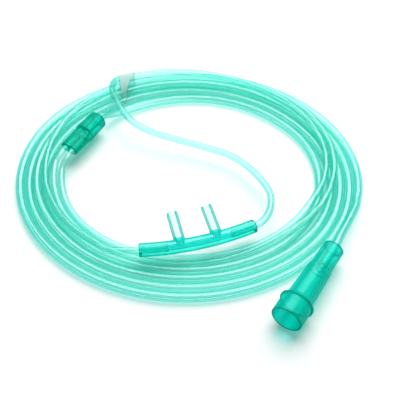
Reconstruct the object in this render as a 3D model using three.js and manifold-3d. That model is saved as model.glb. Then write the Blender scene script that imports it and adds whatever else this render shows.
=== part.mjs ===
// A nasal oxygen cannula, lying in its loose coil on a floor as it comes out of its bag.
// Lengths are millimetres, +Z is up and the floor is z = 0. The model is laid out about the middle of
// its coil, and the last lines move it so that the origin is the middle of the ground it covers.

import * as THREE from "three";
import { mergeVertices } from "three/addons/utils/BufferGeometryUtils.js";
import Module from "manifold-3d";

const wasm = await Module();
wasm.setup();

// Fits
const SEAT_GAP = 0.3; // left between two pieces that touch
const SOCKET_GAP = 0.25; // round a tube in its socket
const BORE_SIDES = 20;
const BODY_SIDES = 32;

// Tubes
const SUPPLY_DIAMETER = 4.6;
const SUPPLY_SIDES = 10;
const LOOP_DIAMETER = 3.6;
const LOOP_SIDES = 8;
const STEP_DIAMETERS = 2; // length of one step of a tube, in tube diameters
const MIDDLE_PASSAGE = 2.8; // gas way inside the fittings, between the sockets

// Coil of tubing: an oval ring, its long way turned from +X
const COIL_HALF_LONG = 87.8;
const COIL_HALF_SHORT = 76.8;
const COIL_TURN = THREE.MathUtils.degToRad(32);
const COIL_STEPS = 60;
// Every 30 degrees of the oval, from the end of its long way and counter-clockwise: how far inside the
// oval the outer and the inner edge of the bundle lie, and how high its tubes are stacked, all counted
// in supply tube diameters.
const COIL_STATIONS = [
  { outer: 0.13, inner: 5.22, top: 1.96 },
  { outer: -0.33, inner: 4.57, top: 2.07 },
  { outer: -0.33, inner: 4.02, top: 2.17 },
  { outer: -0.22, inner: 3.8, top: 2.17 },
  { outer: -0.22, inner: 3.8, top: 2.17 },
  { outer: -0.33, inner: 3.78, top: 2.07 },
  { outer: 0.11, inner: 4.57, top: 1.85 },
  { outer: 0.57, inner: 5.43, top: 1.52 },
  { outer: 0.33, inner: 5.76, top: 1.13 },
  { outer: -0.07, inner: 6.3, top: 1.04 },
  { outer: 0.09, inner: 6.52, top: 1.09 },
  { outer: 0.96, inner: 5.98, top: 1.52 },
];
const COIL_CORNER = 0.28; // round of the ring's corners, as a share of its section

// Funnel connector: its axis runs along Y, the mouth faces -Y and the collar stands on the floor.
// Its tail lies this far from where the supply tube leaves the coil.
const SUPPLY_LEAVES_ANGLE = THREE.MathUtils.degToRad(335.5);
const SUPPLY_LEAVES_HEIGHT = 6;
const FUNNEL_AWAY_X = 2.9;
const FUNNEL_AWAY_Y = -19.9;
const TAIL_LENGTH = 14.5;
const TAIL_DIAMETER = 10.6;
const TAIL_STEP = 0.5; // the body stands this much proud of the tail, on the radius
const TAIL_LEAD_IN = 1.6; // depth and spread of the flare at the tail socket
const SUPPLY_SOCKET_DEPTH = 12.5;
const BODY_LENGTH = 20;
const BODY_END_DIAMETER = 13.2;
const BODY_WALL = 1.3;
const FLARE_LENGTH = 2.2;
const COLLAR_DIAMETER = 17;
const COLLAR_THICKNESS = 1.2;
const MOUTH_LENGTH = 9.4;
const MOUTH_DIAMETER = 15.4;
const MOUTH_WALL = 1.1;

// Y connector: its axis runs along Y too, with the supply socket at the +Y end. Its shoulder lies
// inside the coil at this angle of the oval, clear of the bundle's inner edge.
const Y_ANGLE = THREE.MathUtils.degToRad(148.35);
const Y_CLEAR_OF_COIL = 1.9;
const Y_HEIGHT = 9;
const Y_BARREL_LENGTH = 12.6;
const Y_BARREL_DIAMETER = 10;
const Y_BARREL_SHOULDER_DIAMETER = 10.8;
const Y_BARREL_SOCKET_DEPTH = 11;
const Y_OVAL_LENGTH = 13.4;
const Y_LOOP_SPACING = 4.5; // between the two loop tubes
const Y_OVAL_HEIGHT = 5.4;
const Y_OVAL_SHOULDER_HEIGHT = 6.2;
const Y_LOOP_SOCKET_DEPTH = 10;

// Nosepiece: a bowed round body with two prongs that lean back from the reader. It lies over the
// bundle's inner edge at this angle of the oval, its middle a little way inside the ring.
const NOSE_ANGLE = THREE.MathUtils.degToRad(275.15);
const NOSE_PAST_EDGE = 3.7;
const NOSE_OVER_COIL = 0.7;
const NOSE_CHORD = 57.6; // straight from end to end
const NOSE_TURN = THREE.MathUtils.degToRad(47); // of the chord, from +X
const NOSE_BOW = 3; // how far the middle stands out from the line between the ends
const NOSE_DIAMETER = 6.8;
const NOSE_LEFT_SOCKET_DEPTH = 14;
const NOSE_RIGHT_SOCKET_DEPTH = 12;
const NOSE_STEPS = 12;
const PRONG_SPACING = 18.4;
const PRONGS_OFF_MIDDLE = 0.4; // the middle between the prongs lies this far right of the body's
const PRONG_DIAMETER = 5.4;
const PRONG_BORE = 3.9;
const PRONG_LENGTH = 16.4; // from the body's axis to the open tip
const PRONG_LEAN = THREE.MathUtils.degToRad(40); // from upright
const PRONG_SIDEWAYS = THREE.MathUtils.degToRad(12); // turn of the lean towards the left end
const PRONG_CURL = 0.9; // how far the tip curls on past a straight prong

// Paper tie round the outer tubes, at this angle of the oval
const TIE_ANGLE = THREE.MathUtils.degToRad(114);
const TIE_WIDTH = 6.4;
const TIE_THICKNESS = 0.6;
const TIE_REACH = 9.5; // how far inside the bundle's outer edge the tie goes down between the tubes
const TIE_CORNER = 2.2;

// Routes of the tubes where they are not coiled, as chosen points about the named place
const SUPPLY_PAST_Y_SOCKET = [
  [0, -5, 0],
  [0, 1.2, 0],
  [0.2, 4.7, 0],
  [0.8, 8.2, -0.1],
];
const SUPPLY_BEFORE_TAIL = [
  [-1.4, 12.7, -1.1],
  [-0.2, 5.7, -0.1],
];
const LOOP_LEFT_PAST_Y_SOCKET = [
  [0, 5, 0],
  [0, -0.4, 0],
  [0.15, -4.4, 0],
];
const LOOP_RIGHT_PAST_Y_SOCKET = [
  [0, 5, 0],
  [0, -0.8, 0],
  [0.3, -5.8, -0.4],
];
const LOOP_LEFT_BEFORE_NOSE = [
  [-13.4, -7.3, -0.9],
  [-8.1, -5.1, -0.3],
];
const LOOP_RIGHT_PAST_NOSE = [
  [1.8, 3.6, 0.1],
  [2.2, 8.1, 0.1],
  [1, 14.1, 0],
  [-2.8, 21.1, -0.1],
  [-7.8, 25.4, -0.2],
  [-13.3, 28.4, -0.3],
  [-20.2, 31.3, -0.4],
  [-28.2, 33.5, -0.5],
  [-36.6, 33.9, -0.5],
  [-44.4, 32.7, -0.4],
  [-51.7, 31.1, -0.2],
];
const LOOP_RIGHT_BEFORE_TIE = [
  [55.9, -24.2, -1],
  [48.5, -26.3, -0.4],
  [41.2, -28.3, 0.4],
  [34, -29.6, 1.4],
  [27.5, -29.6, 2.3],
  [21, -27.8, 3],
  [14.8, -24.6, 3.4],
  [8.9, -20.2, 3.5],
  [4.3, -15.3, 3.1],
  [0.3, -11, 2.4],
];

// Colours
const FITTING_GREEN = 0x0fc4a0;
const TUBE_GREEN = 0x8fe3cf;
const TIE_WHITE = 0xf2f4f2;

// Chosen points about a place
function about(place, points) {
  return points.map(([x, y, z]) => new THREE.Vector3(x, y, z).add(place));
}

function finish(colour, roughness) {
  return new THREE.MeshStandardMaterial({ color: colour, roughness, metalness: 0 });
}

// Joining and cutting of closed shapes
function solid(geometry) {
  const bare = geometry.clone();
  bare.deleteAttribute("normal");
  bare.deleteAttribute("uv");
  const merged = mergeVertices(bare, 1e-4);
  return new wasm.Manifold(
    new wasm.Mesh({
      numProp: 3,
      vertProperties: new Float32Array(merged.attributes.position.array),
      triVerts: new Uint32Array(merged.index.array),
    }),
  );
}

function shape(made) {
  const mesh = made.getMesh();
  const geometry = new THREE.BufferGeometry();
  geometry.setAttribute("position", new THREE.BufferAttribute(mesh.vertProperties, 3));
  geometry.setIndex(new THREE.BufferAttribute(mesh.triVerts, 1));
  return geometry.toNonIndexed();
}

function joined(...geometries) {
  return geometries.map(solid).reduce((a, b) => a.add(b));
}

function circle(radius, sides) {
  const outline = new THREE.Shape();
  for (let i = 0; i < sides; i++) {
    const angle = (2 * Math.PI * i) / sides;
    const x = radius * Math.cos(angle);
    const y = radius * Math.sin(angle);
    if (i === 0) outline.moveTo(x, y);
    else outline.lineTo(x, y);
  }
  outline.closePath();
  return outline;
}

// A round bar of one radius along a curve
function rod(curve, radius, sides, steps) {
  return new THREE.ExtrudeGeometry(circle(radius, sides), {
    extrudePath: curve,
    steps,
  });
}

function straightRod(from, to, radius, sides) {
  return rod(new THREE.LineCurve3(from, to), radius, sides, 1);
}

// A tube stretch through chosen points
function tubeStretch(points, diameter, sides) {
  const curve = new THREE.CatmullRomCurve3(points, false, "centripetal");
  const steps = Math.ceil(curve.getLength() / (STEP_DIAMETERS * diameter));
  return rod(curve, diameter / 2, sides, steps);
}

// The point of the oval at an angle, moved in by a distance, at a height
function ovalPoint(angle, inward, height) {
  const x = COIL_HALF_LONG * Math.cos(angle);
  const y = COIL_HALF_SHORT * Math.sin(angle);
  const out = new THREE.Vector2(
    Math.cos(angle) / COIL_HALF_LONG,
    Math.sin(angle) / COIL_HALF_SHORT,
  ).normalize();
  const flat = new THREE.Vector2(x, y).addScaledVector(out, -inward);
  flat.rotateAround(new THREE.Vector2(), COIL_TURN);
  return new THREE.Vector3(flat.x, flat.y, height);
}

// The bundle's edges and height at an angle of the oval
const stationCurve = new THREE.CatmullRomCurve3(
  COIL_STATIONS.map((s) =>
    new THREE.Vector3(s.outer, s.inner, s.top).multiplyScalar(SUPPLY_DIAMETER),
  ),
  true,
  "catmullrom",
  0.5,
);
function stationAt(angle) {
  const turn = angle / (2 * Math.PI);
  const { x: outer, y: inner, z: top } = stationCurve.getPoint(turn - Math.floor(turn));
  return { outer, inner, top };
}

// A point this far outside the bundle's outer edge, or inside its inner edge
function outsideCoil(angle, distance, height) {
  return ovalPoint(angle, stationAt(angle).outer - distance, height);
}

function insideCoil(angle, distance, height) {
  return ovalPoint(angle, stationAt(angle).inner + distance, height);
}

// The coil of tubing is one ring: a turned ring of unit section, bent round the oval
function coilRing() {
  const section = new THREE.Shape();
  const c = COIL_CORNER;
  section.moveTo(1 + c, 0);
  section.lineTo(2 - c, 0);
  section.quadraticCurveTo(2, 0, 2, c);
  section.lineTo(2, 1 - c);
  section.quadraticCurveTo(2, 1, 2 - c, 1);
  section.lineTo(1 + c, 1);
  section.quadraticCurveTo(1, 1, 1, 1 - c);
  section.lineTo(1, c);
  section.quadraticCurveTo(1, 0, 1 + c, 0);
  const profile = section.getPoints(3);
  profile[profile.length - 1] = profile[0].clone();
  const ring = new THREE.LatheGeometry(profile, COIL_STEPS);
  const position = ring.getAttribute("position");
  for (let i = 0; i < position.count; i++) {
    const angle = Math.atan2(-position.getZ(i), position.getX(i));
    const share = Math.hypot(position.getX(i), position.getZ(i)) - 1;
    const { outer, inner, top } = stationAt(angle);
    const place = ovalPoint(angle, inner + (outer - inner) * share, top * position.getY(i));
    position.setXYZ(i, place.x, place.y, place.z);
  }
  return ring;
}

// A closed rounded loop in the upright plane across the bundle, with a length along the bundle
function tieLoop(grow, width) {
  const { outer, top } = stationAt(TIE_ANGLE);
  const far = -outer + SEAT_GAP + TIE_THICKNESS + grow;
  const near = -(outer + TIE_REACH) - TIE_THICKNESS - grow;
  const low = -grow;
  const high = top + SEAT_GAP + TIE_THICKNESS + grow;
  const r = TIE_CORNER;
  const loop = new THREE.Shape();
  loop.moveTo(near + r, low);
  loop.lineTo(far - r, low);
  loop.quadraticCurveTo(far, low, far, low + r);
  loop.lineTo(far, high - r);
  loop.quadraticCurveTo(far, high, far - r, high);
  loop.lineTo(near + r, high);
  loop.quadraticCurveTo(near, high, near, high - r);
  loop.lineTo(near, low + r);
  loop.quadraticCurveTo(near, low, near + r, low);
  const slab = new THREE.ExtrudeGeometry(loop, {
    depth: width,
    bevelEnabled: false,
    curveSegments: 6,
  });
  const out = ovalPoint(TIE_ANGLE, 0, 0).sub(ovalPoint(TIE_ANGLE, 1, 0));
  const up = new THREE.Vector3(0, 0, 1);
  const along = new THREE.Vector3().crossVectors(out, up);
  const place = new THREE.Matrix4().makeBasis(out, up, along);
  place.setPosition(ovalPoint(TIE_ANGLE, 0, 0).addScaledVector(along, -width / 2));
  return slab.applyMatrix4(place);
}

function tieBand() {
  return solid(tieLoop(0, TIE_WIDTH)).subtract(
    solid(tieLoop(-TIE_THICKNESS, TIE_WIDTH + 2 * SEAT_GAP)),
  );
}

// What the tie needs cut from the coil: the band's own room, with the gap all round
function tieRoom() {
  const width = TIE_WIDTH + 2 * SEAT_GAP;
  return solid(tieLoop(SEAT_GAP, width)).subtract(
    solid(tieLoop(-TIE_THICKNESS - SEAT_GAP, width + 2 * SEAT_GAP)),
  );
}

// The funnel connector is one turned moulding with its gas way right through
function funnelProfile() {
  const tail = TAIL_DIAMETER / 2;
  const socket = SUPPLY_DIAMETER / 2 + SOCKET_GAP;
  const passage = MIDDLE_PASSAGE / 2;
  const bodyStart = tail + TAIL_STEP;
  const bodyEnd = BODY_END_DIAMETER / 2;
  const mouth = MOUTH_DIAMETER / 2;
  const ring = -TAIL_LENGTH;
  const flare = ring - BODY_LENGTH;
  const collar = flare - FLARE_LENGTH;
  const face = collar - COLLAR_THICKNESS - MOUTH_LENGTH;
  const outside = [
    [socket + TAIL_LEAD_IN, 0],
    [tail, 0],
    [tail, ring],
    [bodyStart, ring],
    [bodyEnd, flare],
    [bodyEnd + TAIL_STEP, collar + FLARE_LENGTH / 3],
    [COLLAR_DIAMETER / 2, collar],
    [COLLAR_DIAMETER / 2, collar - COLLAR_THICKNESS],
    [mouth, collar - COLLAR_THICKNESS],
    [mouth, face],
  ];
  const inside = [
    [mouth - MOUTH_WALL, face],
    [mouth - MOUTH_WALL - TAIL_STEP, collar],
    [bodyEnd - BODY_WALL, flare],
    [bodyStart - BODY_WALL, ring - BODY_WALL],
    [passage, ring],
    [passage, -SUPPLY_SOCKET_DEPTH],
    [socket, -SUPPLY_SOCKET_DEPTH],
    [socket, -TAIL_LEAD_IN],
    [socket + TAIL_LEAD_IN, 0],
  ];
  return [...outside, ...inside].map(([x, y]) => new THREE.Vector2(x, y));
}

function funnelConnector() {
  const profile = funnelProfile().reverse();
  return new THREE.LatheGeometry(profile, BODY_SIDES);
}

// A straight oval bar between two Y places: a cone whose halves are moved apart
function ovalBar(fromY, toY, fromHeight, toHeight, spacing) {
  const bar = new THREE.CylinderGeometry(toHeight / 2, fromHeight / 2, toY - fromY, BODY_SIDES, 1);
  const position = bar.getAttribute("position");
  for (let i = 0; i < position.count; i++) {
    const x = position.getX(i);
    position.setX(i, x + (Math.sign(Math.round(x * 1e3)) * spacing) / 2);
  }
  return bar.translate(0, (fromY + toY) / 2, 0);
}

function yConnector() {
  const barrel = new THREE.CylinderGeometry(
    Y_BARREL_DIAMETER / 2,
    Y_BARREL_SHOULDER_DIAMETER / 2,
    Y_BARREL_LENGTH,
    BODY_SIDES,
  ).translate(0, Y_BARREL_LENGTH / 2, 0);
  const oval = ovalBar(
    -Y_OVAL_LENGTH,
    Y_BARREL_LENGTH / 2,
    Y_OVAL_HEIGHT,
    Y_OVAL_SHOULDER_HEIGHT,
    Y_LOOP_SPACING,
  );
  const supplySocket = straightRod(
    new THREE.Vector3(0, Y_BARREL_LENGTH - Y_BARREL_SOCKET_DEPTH, 0),
    new THREE.Vector3(0, Y_BARREL_LENGTH + 1, 0),
    SUPPLY_DIAMETER / 2 + SOCKET_GAP,
    BORE_SIDES,
  );
  const passages = [-1, 1].flatMap((side) => {
    const x = (side * Y_LOOP_SPACING) / 2;
    const socketEnd = -Y_OVAL_LENGTH + Y_LOOP_SOCKET_DEPTH;
    return [
      straightRod(
        new THREE.Vector3(x, -Y_OVAL_LENGTH - 1, 0),
        new THREE.Vector3(x, socketEnd, 0),
        LOOP_DIAMETER / 2 + SOCKET_GAP,
        BORE_SIDES,
      ),
      straightRod(
        new THREE.Vector3(x, socketEnd - 1, 0),
        new THREE.Vector3(x / 2, Y_BARREL_LENGTH - Y_BARREL_SOCKET_DEPTH + 1, 0),
        MIDDLE_PASSAGE / 2,
        BORE_SIDES,
      ),
    ];
  });
  return shape(joined(barrel, oval).subtract(joined(supplySocket, ...passages)));
}

// The nosepiece's axis is an arc; its middle stands out by the bow
const noseHeight = stationAt(NOSE_ANGLE).top + NOSE_OVER_COIL + NOSE_DIAMETER / 2;
const noseMiddle = insideCoil(NOSE_ANGLE, NOSE_PAST_EDGE, noseHeight);
const noseAlong = new THREE.Vector3(Math.cos(NOSE_TURN), Math.sin(NOSE_TURN), 0);
const noseOut = new THREE.Vector3(noseAlong.y, -noseAlong.x, 0);
const noseLeft = noseMiddle.clone().addScaledVector(noseAlong, -NOSE_CHORD / 2);
const noseRight = noseMiddle.clone().addScaledVector(noseAlong, NOSE_CHORD / 2);
const noseAxis = new THREE.QuadraticBezierCurve3(
  noseLeft,
  noseMiddle.clone().addScaledVector(noseOut, 2 * NOSE_BOW),
  noseRight,
);

function noseSocketDepth(atLeft) {
  return atLeft ? NOSE_LEFT_SOCKET_DEPTH : NOSE_RIGHT_SOCKET_DEPTH;
}

function noseEndSocket(atLeft) {
  const end = atLeft ? noseLeft : noseRight;
  const share = noseSocketDepth(atLeft) / noseAxis.getLength();
  const inner = noseAxis.getPointAt(atLeft ? share : 1 - share);
  const outward = new THREE.Vector3().subVectors(end, inner).normalize();
  return straightRod(
    inner,
    end.clone().addScaledVector(outward, 1),
    LOOP_DIAMETER / 2 + SOCKET_GAP,
    BORE_SIDES,
  );
}

// A prong's axis leaves the body's axis, leans back and curls on a little
function prongAxis(side, past) {
  const fromMiddle = PRONGS_OFF_MIDDLE + (side * PRONG_SPACING) / 2;
  const share = 0.5 + fromMiddle / noseAxis.getLength();
  const root = noseAxis.getPointAt(share);
  const along = noseAxis.getTangentAt(share);
  const upright = new THREE.Vector3(0, 0, 1);
  const back = new THREE.Vector3(-along.y, along.x, 0).applyAxisAngle(upright, PRONG_SIDEWAYS);
  const rise = new THREE.Vector3(0, 0, Math.cos(PRONG_LEAN)).addScaledVector(
    back,
    Math.sin(PRONG_LEAN),
  );
  const middle = root.clone().addScaledVector(rise, PRONG_LENGTH / 2);
  const tip = root
    .clone()
    .addScaledVector(rise, PRONG_LENGTH)
    .addScaledVector(back, PRONG_CURL);
  const end = tip.clone().add(new THREE.Vector3().subVectors(tip, middle).setLength(past));
  const curve = new THREE.CurvePath();
  curve.add(new THREE.QuadraticBezierCurve3(root, middle, tip));
  if (past > 0) curve.add(new THREE.LineCurve3(tip, end));
  return curve;
}

function nosepiece() {
  const body = rod(noseAxis, NOSE_DIAMETER / 2, BODY_SIDES, NOSE_STEPS);
  const passage = rod(noseAxis, MIDDLE_PASSAGE / 2, BORE_SIDES, NOSE_STEPS);
  const sides = [-1, 1];
  const prongs = sides.map((side) =>
    rod(prongAxis(side, 0), PRONG_DIAMETER / 2, BORE_SIDES, 6),
  );
  const bores = sides.map((side) => rod(prongAxis(side, 1), PRONG_BORE / 2, BORE_SIDES, 7));
  return shape(
    joined(body, ...prongs).subtract(
      joined(passage, ...bores, noseEndSocket(true), noseEndSocket(false)),
    ),
  );
}

// The loop tubes run on into the nosepiece's sockets, and stop short of their ends
function insideNose(atLeft) {
  const length = noseAxis.getLength();
  const deep = (noseSocketDepth(atLeft) - SEAT_GAP) / length;
  const lip = 1 / length;
  return [deep, lip].map((share) => noseAxis.getPointAt(atLeft ? share : 1 - share));
}

const cannula = new THREE.Group();

function place(name, geometry, material, position = new THREE.Vector3()) {
  const mesh = new THREE.Mesh(geometry, material);
  mesh.name = name;
  mesh.position.copy(position);
  cannula.add(mesh);
}

const fittingFinish = finish(FITTING_GREEN, 0.3);
const tubeFinish = finish(TUBE_GREEN, 0.25);
const tieFinish = finish(TIE_WHITE, 0.7);

const supplyLeaves = outsideCoil(
  SUPPLY_LEAVES_ANGLE,
  SUPPLY_DIAMETER / 2 + SEAT_GAP,
  SUPPLY_LEAVES_HEIGHT,
);
const tailEnd = new THREE.Vector3(
  supplyLeaves.x + FUNNEL_AWAY_X,
  supplyLeaves.y + FUNNEL_AWAY_Y,
  COLLAR_DIAMETER / 2,
);
const tailSocketEnd = new THREE.Vector3(0, SEAT_GAP - SUPPLY_SOCKET_DEPTH, 0).add(tailEnd);
place("funnel_connector", funnelConnector(), fittingFinish, tailEnd);

const yShoulder = insideCoil(
  Y_ANGLE,
  Y_BARREL_SHOULDER_DIAMETER / 2 + Y_CLEAR_OF_COIL,
  Y_HEIGHT,
);
const barrelMouth = new THREE.Vector3(0, Y_BARREL_LENGTH, 0).add(yShoulder);
const barrelSocketEnd = new THREE.Vector3(0, SEAT_GAP - Y_BARREL_SOCKET_DEPTH, 0).add(barrelMouth);
place("y_connector", yConnector(), fittingFinish, yShoulder);

// The mouth of a loop tube's socket in the Y, and where the tube ends in it
function loopMouth(side) {
  return new THREE.Vector3((side * Y_LOOP_SPACING) / 2, -Y_OVAL_LENGTH, 0).add(yShoulder);
}

function loopFromY(side, points) {
  const mouth = loopMouth(side);
  const end = new THREE.Vector3(0, Y_LOOP_SOCKET_DEPTH - SEAT_GAP, 0).add(mouth);
  return [end, ...about(mouth, points)];
}

place("nosepiece", nosepiece(), fittingFinish);

place("tube_coil", shape(solid(coilRing()).subtract(tieRoom())), tubeFinish);
place("coil_tie", shape(tieBand()), tieFinish);

const supplyStretches = {
  supply_tube_at_y: [barrelSocketEnd, ...about(barrelMouth, SUPPLY_PAST_Y_SOCKET)],
  supply_tube_at_funnel: [
    supplyLeaves,
    ...about(tailEnd, SUPPLY_BEFORE_TAIL),
    tailEnd,
    tailSocketEnd,
  ],
};
for (const [name, points] of Object.entries(supplyStretches)) {
  place(name, tubeStretch(points, SUPPLY_DIAMETER, SUPPLY_SIDES), tubeFinish);
}

const tiePlace = ovalPoint(TIE_ANGLE, 0, stationAt(TIE_ANGLE).top);
const loopStretches = {
  loop_tube_left_at_y: loopFromY(-1, LOOP_LEFT_PAST_Y_SOCKET),
  loop_tube_right_at_y: loopFromY(1, LOOP_RIGHT_PAST_Y_SOCKET),
  loop_tube_left: [...about(noseLeft, LOOP_LEFT_BEFORE_NOSE), ...insideNose(true).reverse()],
  loop_tube_right: [
    ...insideNose(false),
    ...about(noseRight, LOOP_RIGHT_PAST_NOSE),
    ...about(tiePlace, LOOP_RIGHT_BEFORE_TIE),
  ],
};
for (const [name, points] of Object.entries(loopStretches)) {
  place(name, tubeStretch(points, LOOP_DIAMETER, LOOP_SIDES), tubeFinish);
}

// The origin is the middle of the ground covered, on the floor
const extent = new THREE.Box3().setFromObject(cannula);
const middle = extent.getCenter(new THREE.Vector3());
cannula.position.set(-middle.x, -middle.y, -extent.min.z);

export default cannula;
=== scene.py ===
"""A nasal oxygen cannula lying in its loose coil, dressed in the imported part's frame."""

import logging
import math
from collections.abc import Callable
from dataclasses import dataclass
from enum import Enum

import bmesh
import bpy
import numpy as np
from mathutils import Matrix, Vector


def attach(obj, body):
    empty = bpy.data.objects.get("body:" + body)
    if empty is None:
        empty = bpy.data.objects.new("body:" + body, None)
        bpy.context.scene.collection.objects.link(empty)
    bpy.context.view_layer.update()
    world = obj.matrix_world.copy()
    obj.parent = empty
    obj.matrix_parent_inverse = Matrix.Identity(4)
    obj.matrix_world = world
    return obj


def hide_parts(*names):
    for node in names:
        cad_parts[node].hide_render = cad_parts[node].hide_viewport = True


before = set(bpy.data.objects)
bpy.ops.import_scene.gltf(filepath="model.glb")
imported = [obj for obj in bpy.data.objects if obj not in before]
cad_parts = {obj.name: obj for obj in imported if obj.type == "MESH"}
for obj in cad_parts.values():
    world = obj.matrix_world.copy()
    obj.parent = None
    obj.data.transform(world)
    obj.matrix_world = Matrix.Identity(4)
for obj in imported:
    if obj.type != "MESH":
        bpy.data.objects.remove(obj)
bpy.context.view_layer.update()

MM = 0.001
TUBE_SHORT_OF_SOCKET = 0.3
Colour = tuple[float, float, float]
Station = tuple[float, float, float]

log = logging.getLogger("cannula")


# Where things lie: the same places as in the part's source, in millimetres


@dataclass(frozen=True)
class CoilOval:
    """The oval that the coil of tubing follows.

    Lengths are millimetres. An angle is counted from the end of the long way, counter-clockwise.
    """

    half_long: float = 87.8
    half_short: float = 76.8
    turn: float = 32.0
    shift: tuple[float, float] = (-4.058058, -1.710785)

    def place(self, angle: float, inward: float, height: float) -> Vector:
        """Gives the point that lies inside the oval by a distance.

        Args:
            angle: Angle on the oval, in degrees.
            inward: Distance inwards from the oval.
            height: Height over the floor.

        Returns:
            The point in the row frame, in millimetres.
        """
        a, t = math.radians(angle), math.radians(self.turn)
        out = Vector((math.cos(a) / self.half_long, math.sin(a) / self.half_short)).normalized()
        x = self.half_long * math.cos(a) - inward * out.x
        y = self.half_short * math.sin(a) - inward * out.y
        return Vector(
            (
                x * math.cos(t) - y * math.sin(t) + self.shift[0],
                x * math.sin(t) + y * math.cos(t) + self.shift[1],
                height,
            )
        )

    def outward(self, angle: float) -> Vector:
        """Gives the level direction that points out of the oval at an angle in degrees."""
        return (self.place(angle, 0, 0) - self.place(angle, 1, 0)).normalized()


OVAL = CoilOval()
Y_SHOULDER = Vector((-64.2337, -8.5034, 9.0))
TAIL_END = Vector((81.9075, -6.4048, 8.5))
NOSE_MIDDLE = Vector((23.49, -35.86, 8.9))


def about(place: Vector, points: list[tuple[float, float, float]]) -> list[Vector]:
    """Moves chosen points to a place."""
    return [place + Vector(point) for point in points]


# Finishes


class Nodes:
    """A small helper that fills one material's node tree."""

    def __init__(self, name: str) -> None:
        """Makes an empty material with its output.

        Args:
            name: The material's name.
        """
        self.material = bpy.data.materials.new(name)
        self.material.use_nodes = True
        self.tree = self.material.node_tree
        self.tree.nodes.clear()
        self.output = self.add("ShaderNodeOutputMaterial")

    def add(self, kind: str, **values: object) -> bpy.types.Node:
        """Adds a node and sets its plain sockets.

        Args:
            kind: The node's type.
            values: Socket names, with underscores for spaces, and their values.

        Returns:
            The new node.
        """
        node = self.tree.nodes.new(kind)
        for key, value in values.items():
            node.inputs[key.replace("_", " ")].default_value = value
        return node

    def join(self, start: bpy.types.NodeSocket, end: bpy.types.NodeSocket) -> None:
        """Links an output socket to an input socket."""
        self.tree.links.new(start, end)

    def blend(
        self,
        share: bpy.types.NodeSocket,
        first: Colour,
        second: Colour,
    ) -> bpy.types.NodeSocket:
        """Adds a blend of two colours.

        Args:
            share: The socket with the second colour's share.
            first: The colour where the share is nothing.
            second: The colour where the share is whole.

        Returns:
            The blend's colour socket.
        """
        mix = self.add("ShaderNodeMix")
        mix.data_type = "RGBA"
        mix.inputs[6].default_value = (*first, 1)
        mix.inputs[7].default_value = (*second, 1)
        self.join(share, mix.inputs[0])
        return mix.outputs[2]

    def mixed(
        self, share: float | bpy.types.NodeSocket, first: bpy.types.Node, second: bpy.types.Node
    ) -> bpy.types.Node:
        """Adds a mix of two shaders.

        Args:
            share: The second shader's share, plain or from a socket.
            first: The shader where the share is nothing.
            second: The shader where the share is whole.

        Returns:
            The mix.
        """
        mix = self.add("ShaderNodeMixShader")
        if isinstance(share, float):
            mix.inputs[0].default_value = share
        else:
            self.join(share, mix.inputs[0])
        self.join(first.outputs[0], mix.inputs[1])
        self.join(second.outputs[0], mix.inputs[2])
        return mix

    def object_noise(self, scale: float, detail: float = 2.0) -> bpy.types.NodeSocket:
        """Adds a noise that is fixed to the object.

        Args:
            scale: How many times the noise repeats in a metre.
            detail: Its finer layers.

        Returns:
            The noise's value socket.
        """
        place = self.add("ShaderNodeTexCoord")
        noise = self.add("ShaderNodeTexNoise", Scale=scale, Detail=detail)
        self.join(place.outputs["Object"], noise.inputs["Vector"])
        return noise.outputs[0]


@dataclass(frozen=True)
class ClearVinyl:
    """A clear soft plastic that is tinted where its wall is seen edge on, with a little milkiness.

    Tints are the share of each colour that passes one face of the wall.
    """

    name: str
    clear: Colour
    edge: Colour
    body: Colour
    milk: float = 0.08
    milk_edge: float = 0.3
    rim_start: float = 0.1
    rim_end: float = 0.8
    roughness: float = 0.08
    mirror: float = 0.03
    mirror_edge: float = 0.45
    shine: Colour = (1.0, 1.0, 1.0)
    ripple: float = 0.02
    ripple_scale: float = 260.0
    deep_share: float = 0.9
    glow_share: float = 0.5
    falloff: float = 5.0

    def make(self) -> bpy.types.Material:
        """Builds the material.

        Returns:
            The finished material.
        """
        nodes = Nodes(self.name)
        facing = nodes.add("ShaderNodeLayerWeight", Blend=0.5).outputs["Facing"]
        rim = nodes.add("ShaderNodeMapRange", From_Min=self.rim_start, From_Max=self.rim_end)
        rim.interpolation_type = "SMOOTHSTEP"
        nodes.join(facing, rim.inputs["Value"])
        cloud = nodes.object_noise(self.ripple_scale)
        bump = nodes.add("ShaderNodeBump", Strength=self.ripple, Distance=0.0002)
        nodes.join(cloud, bump.inputs["Height"])

        passing = nodes.add("ShaderNodeBsdfTransparent")
        nodes.join(nodes.blend(rim.outputs[0], self.clear, self.edge), passing.inputs["Color"])

        deep = tuple(self.deep_share * part for part in self.body)
        tone = nodes.blend(cloud, deep, self.body)
        body = nodes.add("ShaderNodeBsdfPrincipled", Roughness=0.35, Specular_IOR_Level=0.08)
        nodes.join(tone, body.inputs["Base Color"])
        glow = nodes.add("ShaderNodeBsdfTranslucent")
        nodes.join(tone, glow.inputs["Color"])
        milky = nodes.mixed(self.glow_share, body, glow)

        share = nodes.add("ShaderNodeMapRange", To_Min=self.milk, To_Max=self.milk_edge)
        nodes.join(rim.outputs[0], share.inputs["Value"])
        wall = nodes.mixed(share.outputs[0], passing, milky)

        gloss = nodes.add(
            "ShaderNodeBsdfAnisotropic", Roughness=self.roughness, Color=(*self.shine, 1)
        )
        nodes.join(bump.outputs[0], gloss.inputs["Normal"])
        power = nodes.add("ShaderNodeMath")
        power.operation = "POWER"
        power.inputs[1].default_value = self.falloff
        nodes.join(facing, power.inputs[0])
        mirror = nodes.add("ShaderNodeMapRange", To_Min=self.mirror, To_Max=self.mirror_edge)
        nodes.join(power.outputs[0], mirror.inputs["Value"])
        whole = nodes.mixed(mirror.outputs[0], wall, gloss)
        nodes.join(whole.outputs[0], nodes.output.inputs["Surface"])
        return nodes.material


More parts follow.
